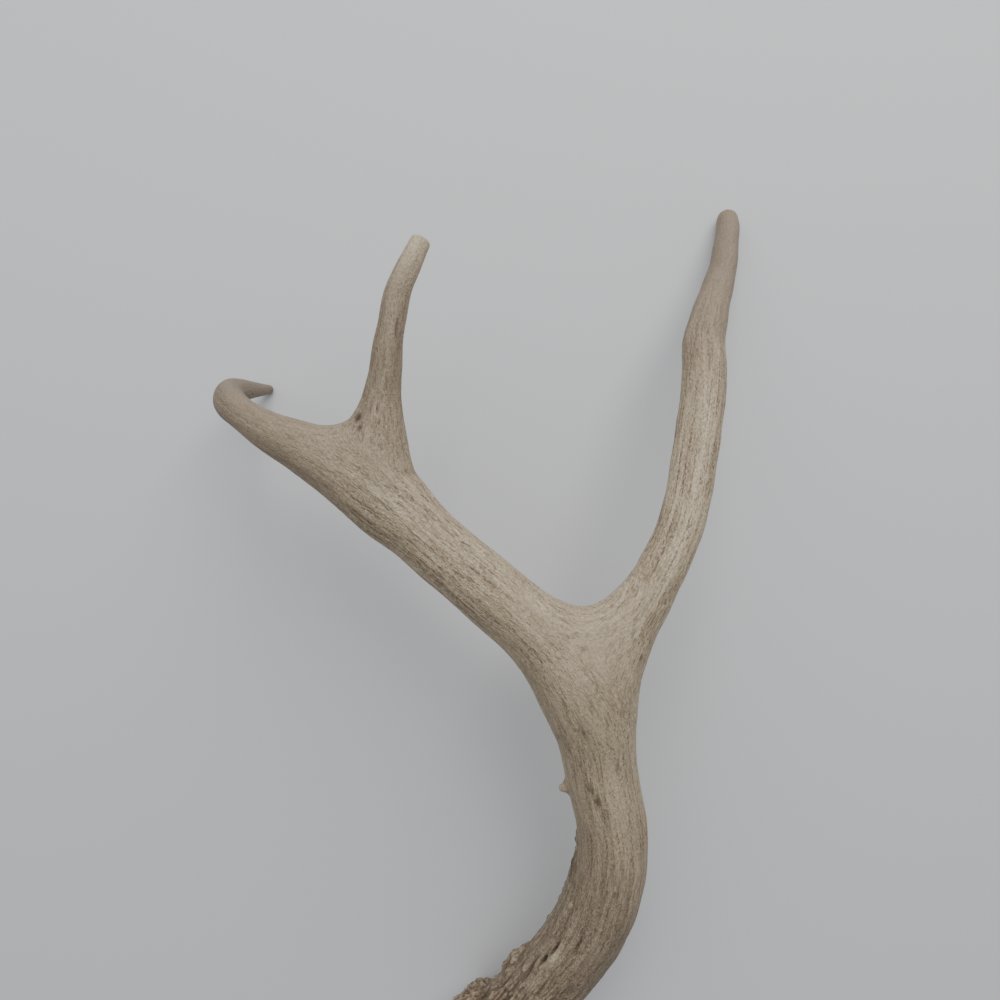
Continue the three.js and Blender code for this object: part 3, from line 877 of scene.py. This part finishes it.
class Grain:
    """How each point of the skin lies along the stems, and how much of it belongs to each."""

    def __init__(self, points):
        main_skin, self.main, main_ahead = MAIN.straightened(points)
        rear_skin, self.rear, _ = REAR.straightened(points)
        upper_skin, self.upper, upper_ahead = UPPER.straightened(points)
        side_skin = np.minimum(rear_skin, upper_skin)
        self.by_rear = rear_skin < upper_skin
        self.side = np.where(self.by_rear[:, None], self.rear, self.upper + UPPER_SHIFT)
        self.side_share = smoothstep(-GRAIN_BLEND, GRAIN_BLEND, main_skin - side_skin)
        self.main_share = 1 - self.side_share
        self.crotch, self.crotch_share = round_crotch(points)
        self.ahead = np.where((upper_skin < main_skin)[:, None], upper_ahead, main_ahead)

    def by_stem(self, main, rear, upper):
        """A value that follows a profile along each stem."""
        on_rear, on_upper = along_stem(rear, self.rear[:, 2]), along_stem(upper, self.upper[:, 2])
        on_side = np.where(self.by_rear, on_rear, on_upper)
        return self.main_share * along_stem(main, self.main[:, 2]) + self.side_share * on_side

    def relief(self):
        """Height of the furrows and grooves of every stem and of the crotch."""
        main_depth = along_stem(GROOVE_DEPTHS, self.main[:, 2])
        deep = self.main_share * main_depth + SIDE_GROOVE_DEPTH * self.side_share
        height = relief(self.main, deep) * self.main_share + relief(self.side, deep) * self.side_share
        return height + self.crotch_share * (relief(self.crotch, CROTCH["deep"]) - height)

    def worn_tip(self):
        """How worn the bone is towards the hooked tip and the tip of the rear tine."""
        to_hook_tip = MAIN.along[-1] - self.main[:, 2]
        to_rear_tip = REAR.along[-1] - self.rear[:, 2]
        hook = (1 - smoothstep(*WORN_HOOK, to_hook_tip)) * self.main_share
        return np.maximum(hook, (1 - smoothstep(*WORN_REAR, to_rear_tip)) * self.side_share * self.by_rear)

    def near_burr(self):
        """How near the burr the bone is."""
        return (1 - smoothstep(ROUGH_BONE["full"], ROUGH_BONE["end"], self.main[:, 2])) * self.main_share


def fork_calm(points):
    """How calm the bone is round the middle of the first fork."""
    off_fork = np.linalg.norm(points[:, :2] - FORK_CALM["middle"], axis=1)
    return FORK_CALM["most"] * np.exp(-((off_fork / FORK_CALM["reach"]) ** 2))


def furrowed_mesh(bone, grain_size):
    """The fused skin with its relief, and the attributes that its colours follow."""
    mesh = fused_mesh(bone, grain_size)
    points = vertex_array(mesh)
    grain = Grain(points)
    near_burr, worn_tip = grain.near_burr(), grain.worn_tip()
    calm = np.maximum(grain.by_stem(MAIN_CALM, REAR_CALM, UPPER_CALM), fork_calm(points))
    depth, stain = marks(points, grain.ahead)
    seal = 1 - smoothstep(*SEAL_EDGE, seal_height(*from_burr(points)))

    height = grain.relief() * ((1 - WORN_SMOOTHING * worn_tip) * (1 - CALM_SMOOTHING * calm))
    height += near_burr ** ROUGH_BONE["fade"] * crags(points, grain.main)
    height -= depth
    height += seal * sum(lumpy(points, *shape) for shape in SEAL_GRAIN)
    points = points + vertex_array(mesh, "normal") * height[:, None]
    points[:, 2] = np.maximum(points[:, 2], 0)
    set_vertices(mesh, points * MILLIMETRE)
    normals = vertex_array(mesh, "normal")

    for name, values in {
        "weathered": grain.by_stem(MAIN_WEATHERED, REAR_WEATHERED, UPPER_WEATHERED),
        "calm": calm,
        "marked": stain,
        "grain_main": grain.main,
        "grain_side": grain.side,
        "side_share": grain.side_share,
        "grain_crotch": grain.crotch,
        "crotch_share": grain.crotch_share,
        "fused_normal": normals,
        "hollow": ((neighbour_mean(mesh, points, rounds=8) - points) * normals).sum(axis=1),
        "near_burr": near_burr,
        "worn_tip": worn_tip,
        "seal": seal,
    }.items():
        set_attribute(mesh, name, values)
    return mesh


# ---------------------------------------------------------------- parting at the forks

CUT_REACH = 3.0
# In metres: what is one point when the skin is cut, and how near a cut its own edges lie.
SAME_POINT = 1e-7
ON_CUT = 2e-6


class Cut:
    """A plane that parts a fork, in metres."""

    def __init__(self, point, normal):
        self.point = Vector(point) * MILLIMETRE
        self.normal = Vector(normal).normalized()

    def side(self, place):
        return (place - self.point).dot(self.normal)


FIRST_ACROSS = Cut(FIRST_FORK["middle"], FIRST_FORK["across"])
FIRST_BETWEEN = Cut(FIRST_FORK["crotch"], FIRST_FORK["between"])
SECOND_ACROSS = Cut(SECOND_FORK["middle"], SECOND_FORK["across"])
SECOND_BETWEEN = Cut(SECOND_FORK["crotch"], SECOND_FORK["between"])


def node_at(place):
    """The node that a place on the skin belongs to."""
    if FIRST_ACROSS.side(place) < 0:
        return "beam"
    if FIRST_BETWEEN.side(place) > 0:
        return "rear_tine"
    if SECOND_ACROSS.side(place) < 0:
        return "front_branch"
    return "upper_tine" if SECOND_BETWEEN.side(place) > 0 else "hooked_tip"


def cut_skin(bm, cut, past=None):
    """New edges where a plane passes the skin, only on the far side of another plane if one is given."""
    reach = CUT_REACH * MILLIMETRE
    faces = [
        face
        for face in bm.faces
        if abs(cut.side(face.verts[0].co)) < reach
        and (past is None or past.side(face.calc_center_median()) > 0)
    ]
    edges = {edge for face in faces for edge in face.edges}
    verts = {vert for face in faces for vert in face.verts}
    bmesh.ops.bisect_plane(
        bm,
        geom=[*verts, *edges, *faces],
        dist=SAME_POINT,
        plane_co=cut.point,
        plane_no=cut.normal,
    )


@functools.cache
def parted_skin(bone, grain_size):
    """The furrowed skin with edges along every parting, as a mesh."""
    mesh = furrowed_mesh(bone, grain_size)
    bm = bmesh.new()
    bm.from_mesh(mesh)
    cut_skin(bm, FIRST_ACROSS)
    cut_skin(bm, FIRST_BETWEEN, past=FIRST_ACROSS)
    cut_skin(bm, SECOND_ACROSS)
    cut_skin(bm, SECOND_BETWEEN, past=SECOND_ACROSS)
    bm.to_mesh(mesh)
    bm.free()
    return mesh


def cap(bm, cut):
    """Closes a piece with a flat face where it was parted. Two caps at a fork share one straight edge."""
    open_edges = [
        edge
        for edge in bm.edges
        if edge.is_boundary and all(abs(cut.side(vert.co)) < ON_CUT for vert in edge.verts)
    ]
    if not open_edges:
        return
    count = {}
    for edge in open_edges:
        for vert in edge.verts:
            count[vert] = count.get(vert, 0) + 1
    ends = [vert for vert, times in count.items() if times == 1]
    if len(ends) == 2:
        open_edges.append(bm.edges.get(ends) or bm.edges.new(ends))
    elif ends:
        raise RuntimeError(f"a parting has {len(ends)} loose ends")
    bmesh.ops.triangle_fill(bm, edges=open_edges, use_beauty=True)


def piece(node, bone, settings):
    """One of the five pieces, closed where it was parted, in place of its solid."""
    grain_size = settings.grain_size / MILLIMETRE * 1
    bm = bmesh.new()
    bm.from_mesh(parted_skin(skin_bone(), grain_size))
    others = [face for face in bm.faces if node_at(face.calc_center_median()) != node]
    bmesh.ops.delete(bm, geom=others, context="FACES")
    for cut in (FIRST_ACROSS, FIRST_BETWEEN, SECOND_ACROSS, SECOND_BETWEEN):
        cap(bm, cut)
    bmesh.ops.recalc_face_normals(bm, faces=bm.faces)
    left_open = sum(edge.is_boundary or not edge.is_manifold for edge in bm.edges)
    if left_open:
        raise RuntimeError(f"{node} has {left_open} open edges")
    mesh = bpy.data.meshes.new(node)
    bm.to_mesh(mesh)
    bm.free()
    mesh.shade_smooth()
    normals = np.empty(len(mesh.vertices) * 3, np.float32)
    mesh.attributes["fused_normal"].data.foreach_get("vector", normals)
    mesh.attributes.remove(mesh.attributes["fused_normal"])
    mesh.normals_split_custom_set_from_vertices(normals.reshape(-1, 3).tolist())
    mesh.materials.clear()
    mesh.materials.append(bone)
    made = shown(mesh, f"{node}_bone")
    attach(made, "root")
    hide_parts(node)
    return made


# ---------------------------------------------------------------- bone materials


def skin_bone():
    """The material that stands in while the skin is one mesh."""
    return bpy.data.materials.get("skin_bone") or bpy.data.materials.new("skin_bone")


def mixed(tree, factor, a, b, blend="MIX"):
    """Two colours mixed."""
    node = add(
        tree,
        "ShaderNodeMix",
        {"Factor_Float": factor, "A_Color": a, "B_Color": b},
        data_type="RGBA",
        blend_type=blend,
    )
    return by_identifier(node.outputs, "Result_Color")


def between(tree, factor, a, b):
    """Two numbers mixed."""
    node = add(
        tree,
        "ShaderNodeMix",
        {"Factor_Float": factor, "A_Float": a, "B_Float": b},
        data_type="FLOAT",
    )
    return by_identifier(node.outputs, "Result_Float")


def math(tree, operation, *values):
    """A number worked out from others."""
    node = add(tree, "ShaderNodeMath", dict(enumerate(values)), operation=operation)
    return node.outputs[0]


def ranged(tree, value, low, high, to_low=0.0, to_high=1.0):
    """A value carried smoothly from one range to another, and held at its ends."""
    node = add(
        tree,
        "ShaderNodeMapRange",
        {"Value": value, "From Min": low, "From Max": high, "To Min": to_low, "To Max": to_high},
        interpolation_type="SMOOTHSTEP",
    )
    return node.outputs[0]


def attribute(tree, name, output="Fac"):
    """A vertex attribute in a material."""
    return add(tree, "ShaderNodeAttribute", attribute_name=name).outputs[output]


# Each kind of mark along the grain: its width in millimetres, how many times longer it is, its detail, its
# place in the noise, and the noise at which it starts and is full.
GRAIN_MARKS = {
    "Bands": (4.0, 10.0, 1.0, 3.1, 0.36, 0.64),
    "Rows": (1.7, 16.0, 0.0, 9.4, 0.35, 0.6),
    "Lines": (1.1, 36.0, 0.5, 21.3, 0.52, 0.66),
    "Streaks": (1.3, 4.5, 2.0, 7.7, 0.46, 0.7),
    "Flecks": (0.6, 2.2, 2.0, 5.3, 0.3, 0.7),
    "Dashes": (0.8, 2.6, 1.0, 12.9, 0.5, 0.64),
}
BONE_COATS = ("Bone", "Pale", "Streak", "Weather", "Stain", "Mark", "Tip")
SKIN_MASKS = ("Hollow", "Weathered", "Calm", "Marked", "Near Burr", "Worn Tip", "Seal")
# Scale and detail of the noises that don't follow the grain: speckle, clouds and wear.
SKIN_NOISES = [(1500.0, 2.0), (40.0, 4.0), (62.0, 2.0)]
EVEN_PALE = 0.21


@functools.cache
def grain_group():
    """Marks drawn out along the bone: bands, rows, long fine lines, streaks, flecks and dark dashes."""
    inputs = {"Grain": ("NodeSocketVector", None)}
    inputs |= {f"{name} Width": ("NodeSocketFloat", shape[0]) for name, shape in GRAIN_MARKS.items()}
    outputs = {name: "NodeSocketFloat" for name in GRAIN_MARKS}
    tree, given, result = new_tree("lengthwise_grain", "ShaderNodeTree", inputs, outputs)
    for name, (_, longer, detail, seed, low, high) in GRAIN_MARKS.items():
        across = math(tree, "DIVIDE", 1.0, given.outputs[f"{name} Width"])
        along = math(tree, "DIVIDE", across, longer)
        scale = add(tree, "ShaderNodeCombineXYZ", {"X": across, "Y": across, "Z": along})
        place = add(
            tree,
            "ShaderNodeVectorMath",
            {0: given.outputs["Grain"], 1: scale.outputs[0], 2: (seed, seed * 0.7, seed * 0.3)},
            operation="MULTIPLY_ADD",
        )
        texture = add(
            tree,
            "ShaderNodeTexNoise",
            {"Vector": place.outputs[0], "Scale": 1.0, "Detail": detail, "Roughness": 0.55},
        )
        tree.links.new(ranged(tree, texture.outputs["Fac"], low, high), result.inputs[name])
    return tree


@functools.cache
def bone_group():
    """Colour, roughness and fine height of dry bone."""
    inputs = {name: ("NodeSocketColor", (0.4, 0.3, 0.2, 1)) for name in BONE_COATS}
    inputs["Polish"] = ("NodeSocketFloat", 0.6)
    inputs |= {name: ("NodeSocketFloat", 0.5) for name in GRAIN_MARKS}
    inputs |= {name: ("NodeSocketFloat", 0.0) for name in SKIN_MASKS}
    outputs = {"Color": "NodeSocketColor", "Roughness": "NodeSocketFloat", "Height": "NodeSocketFloat"}
    tree, given, result = new_tree("dry_bone", "ShaderNodeTree", inputs, outputs)
    take = given.outputs
    times = functools.partial(math, tree, "MULTIPLY")
    plus = functools.partial(math, tree, "ADD")
    ramp = functools.partial(ranged, tree)
    place = add(tree, "ShaderNodeTexCoord").outputs["Object"]
    speckle, clouds, wear = (
        add(tree, "ShaderNodeTexNoise", {"Vector": place, "Scale": scale, "Detail": detail}).outputs["Fac"]
        for scale, detail in SKIN_NOISES
    )

    # Calm bone is evened out, and little of its streaks and dashes is kept.
    evened = ramp(take["Calm"], 0.0, 1.0, 0.0, 0.7)
    kept = times(ramp(wear, 0.36, 0.62, 0.35, 1.15), ramp(take["Calm"], 0.0, 1.0, 1.0, 0.15))
    pale = times(ramp(clouds, 0.3, 0.7, 0.15, 0.8), take["Bands"])
    pale = times(pale, ramp(take["Rows"], 1.0, 0.0, 0.6, 1.0))
    pale = times(between(tree, evened, pale, EVEN_PALE), ramp(take["Weathered"], 0.0, 1.0, 0.9, 0.3))
    streaked = times(take["Streaks"], ramp(take["Bands"], 1.0, 0.0, 0.1, 0.55))
    dashed = times(take["Dashes"], ramp(take["Rows"], 0.0, 1.0, 0.12, 0.75))
    lined = times(take["Lines"], ramp(take["Flecks"], 0.9, 0.1, 0.3, 0.85))
    ridge = ramp(take["Hollow"], -0.02, -0.14, 0.0, 0.35)
    foul = plus(take["Near Burr"], times(take["Hollow"], 2.0))
    stained = times(ramp(foul, 0.1, 1.3, 0.0, 0.8), ramp(clouds, 0.3, 0.6, 0.5, 1.0))

    # The coats over plain bone, from the lowest up, each with its share at a place.
    coats = [
        (take["Weathered"], "Weather"),
        (pale, "Pale"),
        (times(streaked, kept), "Streak"),
        (times(dashed, kept), "Streak"),
        (times(lined, ramp(take["Calm"], 0.0, 1.0, 1.0, 0.4)), "Streak"),
        (times(ridge, ramp(take["Weathered"], 0.2, 1.0, 1.0, 0.45)), "Pale"),
        (ramp(take["Hollow"], 0.02, 0.2, 0.0, 0.75), "Streak"),
        (ramp(take["Marked"], 0.0, 1.0), "Mark"),
        (ramp(take["Worn Tip"], 0.1, 1.0, 0.0, 0.6), "Tip"),
        (times(stained, take["Near Burr"]), "Stain"),
        (times(take["Streaks"], ramp(take["Near Burr"], 0.25, 0.9, 0.0, 0.55)), "Mark"),
        (times(take["Bands"], ramp(take["Near Burr"], 0.25, 0.9, 0.0, 0.22)), "Pale"),
        (ramp(take["Marked"], 0.0, -1.0), "Pale"),
        (times(take["Seal"], 0.5), "Pale"),
    ]
    color = take["Bone"]
    for share, coat in coats:
        color = mixed(tree, share, color, take[coat])

    # Fine light and dark grains show through every coat.
    flecked = ramp(between(tree, evened, take["Flecks"], 0.5), 0.0, 1.0, 0.76, 1.16)
    grey = times(flecked, ramp(speckle, 0.3, 0.7, 0.88, 1.1))
    shade = add(tree, "ShaderNodeCombineColor", {0: grey, 1: grey, 2: grey})
    color = mixed(tree, 1.0, color, shade.outputs[0], "MULTIPLY")
    tree.links.new(color, result.inputs["Color"])

    rough = between(tree, take["Streaks"], 0.62, 0.8)
    polished = times(take["Worn Tip"], take["Polish"])
    tree.links.new(between(tree, polished, rough, 0.45), result.inputs["Roughness"])
    raised = plus(take["Flecks"], times(speckle, 0.6))
    sunk = plus(times(take["Dashes"], 0.9), times(take["Streaks"], 0.5))
    tree.links.new(math(tree, "SUBTRACT", raised, sunk), result.inputs["Height"])
    return tree


def grain_marks(tree):
    """The marks of both stems at a fork and of its crotch, mixed by which of them a place belongs to."""
    main, side, crotch = (
        add(tree, "ShaderNodeGroup", {"Grain": attribute(tree, name, "Vector")}, node_tree=grain_group())
        for name in ("grain_main", "grain_side", "grain_crotch")
    )
    share, crotch_share = attribute(tree, "side_share"), attribute(tree, "crotch_share")
    marks = {}
    for name in GRAIN_MARKS:
        stems = between(tree, share, main.outputs[name], side.outputs[name])
        marks[name] = between(tree, crotch_share, stems, crotch.outputs[name])
    return marks


def bone_material(name, colours, polish):
    """Dry bone for one group of pieces."""
    material = bpy.data.materials.new(name)
    material.use_nodes = True
    tree = material.node_tree
    shader = tree.nodes["Principled BSDF"]
    inputs = {label: (*getattr(colours, label.lower()), 1) for label in BONE_COATS}
    inputs |= {label: attribute(tree, label.lower().replace(" ", "_")) for label in SKIN_MASKS}
    inputs |= {"Polish": polish, **grain_marks(tree)}
    bone = add(tree, "ShaderNodeGroup", inputs, node_tree=bone_group())
    bump = add(
        tree,
        "ShaderNodeBump",
        {"Height": bone.outputs["Height"], "Distance": 0.00022, "Strength": 0.6},
    )
    tree.links.new(bone.outputs["Color"], shader.inputs["Base Color"])
    tree.links.new(bone.outputs["Roughness"], shader.inputs["Roughness"])
    tree.links.new(bump.outputs[0], shader.inputs["Normal"])
    shader.inputs["Specular IOR Level"].default_value = 0.35
    return material


# ---------------------------------------------------------------- settings

COLOUR = {"subtype": "COLOR", "min": 0, "max": 1}


class AntlerForm(bpy.types.PropertyGroup):
    """Sizes of the bone surface."""

    grain_size: FloatProperty(
        name="Surface Grain",
        description="Side of the small quads that the skin is made of",
        default=0.00065,
        min=0.0003,
        max=0.003,
        precision=5,
        unit="LENGTH",
    )


class BoneColours(bpy.types.PropertyGroup):
    """Colours of the dry bone."""

    bone: FloatVectorProperty(
        name="Bone",
        description="Dry grey-tan bone",
        default=(0.412, 0.328, 0.224),
        **COLOUR,
    )
    pale: FloatVectorProperty(
        name="Pale Bone",
        description="Rubbed and bleached bone on ridges and in the crotches",
        default=(0.58, 0.485, 0.345),
        **COLOUR,
    )
    streak: FloatVectorProperty(
        name="Streaks",
        description="Brown streaks and dashes along the grain",
        default=(0.14, 0.1, 0.066),
        **COLOUR,
    )
    weather: FloatVectorProperty(
        name="Weathered Bone",
        description="Darker weathered bone low on the beam and on the hook",
        default=(0.165, 0.125, 0.087),
        **COLOUR,
    )
    stain: FloatVectorProperty(
        name="Burr Stain",
        description="Red-brown stain round the burr",
        default=(0.115, 0.066, 0.036),
        **COLOUR,
    )
    tip: FloatVectorProperty(
        name="Worn Tip",
        description="Smoother grey-brown bone at the tips",
        default=(0.19, 0.145, 0.105),
        **COLOUR,
    )
    mark: FloatVectorProperty(
        name="Marks",
        description="Near black slits, smudges and scars",
        default=(0.06, 0.043, 0.031),
        **COLOUR,
    )


class AntlerStage(bpy.types.PropertyGroup):
    """Floor, light and camera."""

    camera_place: FloatVectorProperty(
        name="Camera Place",
        description="Where the camera stands. It looks straight down",
        subtype="XYZ",
        unit="LENGTH",
        default=(0.0055, 0.0667, 0.4),
    )
    lens: FloatProperty(
        name="Lens",
        description="Focal length on a 36 mm sensor, in millimetres",
        default=27.0,
        unit="CAMERA",
    )
    floor: FloatVectorProperty(
        name="Floor",
        description="Colour of the pale floor",
        default=(0.605, 0.612, 0.63),
        **COLOUR,
    )


# ---------------------------------------------------------------- operators

TIP_POLISH = {"beam_bone": 0.2, "branch_bone": 0.6, "tine_bone": 0.8}
FLOOR_REACH = 12.0
# Each soft light: its place, size in metres, power in watts and colour.
LIGHTS = {
    "window_light": ((0.35, 1.1, 1.0), 1.3, 24.5, (1.0, 0.995, 0.98)),
    "fill_light": ((-0.75, 0.6, 1.1), 1.2, 4.6, (0.97, 0.99, 1.0)),
}
SKY = {"colour": (0.96, 0.98, 1.0), "strength": 0.39}


@functools.cache
def slot_bone(slot):
    """The bone of one slot's pieces."""
    return bone_material(slot, bpy.context.scene.antler_colours, TIP_POLISH[slot])


def grow(slot, nodes, context):
    """The pieces of one slot."""
    for node in nodes:
        piece(node, slot_bone(slot), context.scene.antler_form)


class ANTLER_OT_beam(bpy.types.Operator):
    """Grow the beam with its burr, pearls and brow spur"""

    bl_idname = "antler.beam"
    bl_label = "Beam"

    def execute(self, context):
        grow("beam_bone", ["beam"], context)
        return {"FINISHED"}


class ANTLER_OT_branches(bpy.types.Operator):
    """Grow the front branch and the rear tine"""

    bl_idname = "antler.branches"
    bl_label = "Branches"

    def execute(self, context):
        grow("branch_bone", ["front_branch", "rear_tine"], context)
        return {"FINISHED"}


class ANTLER_OT_tines(bpy.types.Operator):
    """Grow the hooked tip and the upper tine"""

    bl_idname = "antler.tines"
    bl_label = "Tines"

    def execute(self, context):
        grow("tine_bone", ["hooked_tip", "upper_tine"], context)
        return {"FINISHED"}


def plain_material(name, colour, roughness):
    """One even colour."""
    material = bpy.data.materials.new(name)
    material.use_nodes = True
    shader = material.node_tree.nodes["Principled BSDF"]
    shader.inputs["Base Color"].default_value = (*colour, 1)
    shader.inputs["Roughness"].default_value = roughness
    shader.inputs["Specular IOR Level"].default_value = 0.2
    return material


def area_light(name, place, size, power, colour):
    """A soft square light that looks at the middle of the antler."""
    light = bpy.data.lights.new(name, "AREA")
    light.size = size
    light.energy = power
    light.color = colour
    thing = bpy.data.objects.new(name, light)
    thing.location = place
    thing.rotation_euler = (-Vector(place)).to_track_quat("-Z", "Y").to_euler()
    bpy.context.scene.collection.objects.link(thing)


class ANTLER_OT_stage(bpy.types.Operator):
    """Add the floor, the soft lights and the camera"""

    bl_idname = "antler.stage"
    bl_label = "Stage"

    def execute(self, context):
        settings = context.scene.antler_stage
        low, high = -FLOOR_REACH, FLOOR_REACH
        corners = [(low, low, 0), (high, low, 0), (high, high, 0), (low, high, 0)]
        floor = shown(mesh_of("floor", corners, [(0, 1, 2, 3)]), "floor")
        floor.data.materials.append(plain_material("pale_floor", settings.floor, roughness=0.7))

        for name, light in LIGHTS.items():
            area_light(name, *light)
        world = bpy.data.worlds.new("soft_world")
        world.use_nodes = True
        background = world.node_tree.nodes["Background"]
        background.inputs["Color"].default_value = (*SKY["colour"], 1)
        background.inputs["Strength"].default_value = SKY["strength"]
        context.scene.world = world

        camera = bpy.data.cameras.new("camera")
        camera.sensor_width = 36
        camera.lens = settings.lens
        camera.clip_start = 0.01
        thing = bpy.data.objects.new("camera", camera)
        thing.location = settings.camera_place
        context.scene.collection.objects.link(thing)
        context.scene.camera = thing
        return {"FINISHED"}


class ANTLER_PT_panel(bpy.types.Panel):
    """The antler's steps and settings"""

    bl_idname = "ANTLER_PT_panel"
    bl_label = "Deer Antler"
    bl_space_type = "VIEW_3D"
    bl_region_type = "UI"
    bl_category = "Antler"

    def draw(self, context):
        scene = context.scene
        for settings in (scene.antler_form, scene.antler_colours, scene.antler_stage):
            for name in settings.__annotations__:
                self.layout.prop(settings, name)
        for operator in OPERATORS:
            self.layout.operator(operator.bl_idname)


SETTINGS = {"antler_form": AntlerForm, "antler_colours": BoneColours, "antler_stage": AntlerStage}
OPERATORS = (ANTLER_OT_stage, ANTLER_OT_beam, ANTLER_OT_branches, ANTLER_OT_tines)


def register():
    for kind in (*SETTINGS.values(), *OPERATORS, ANTLER_PT_panel):
        bpy.utils.register_class(kind)
    for name, kind in SETTINGS.items():
        setattr(bpy.types.Scene, name, PointerProperty(type=kind))


def unregister():
    for name in SETTINGS:
        delattr(bpy.types.Scene, name)
    for kind in (ANTLER_PT_panel, *reversed(OPERATORS), *reversed(list(SETTINGS.values()))):
        bpy.utils.unregister_class(kind)


def main():
    register()
    bpy.ops.antler.stage()
    bpy.ops.antler.beam()
    bpy.ops.antler.branches()
    bpy.ops.antler.tines()
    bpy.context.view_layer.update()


if __name__ == "__main__":
    main()
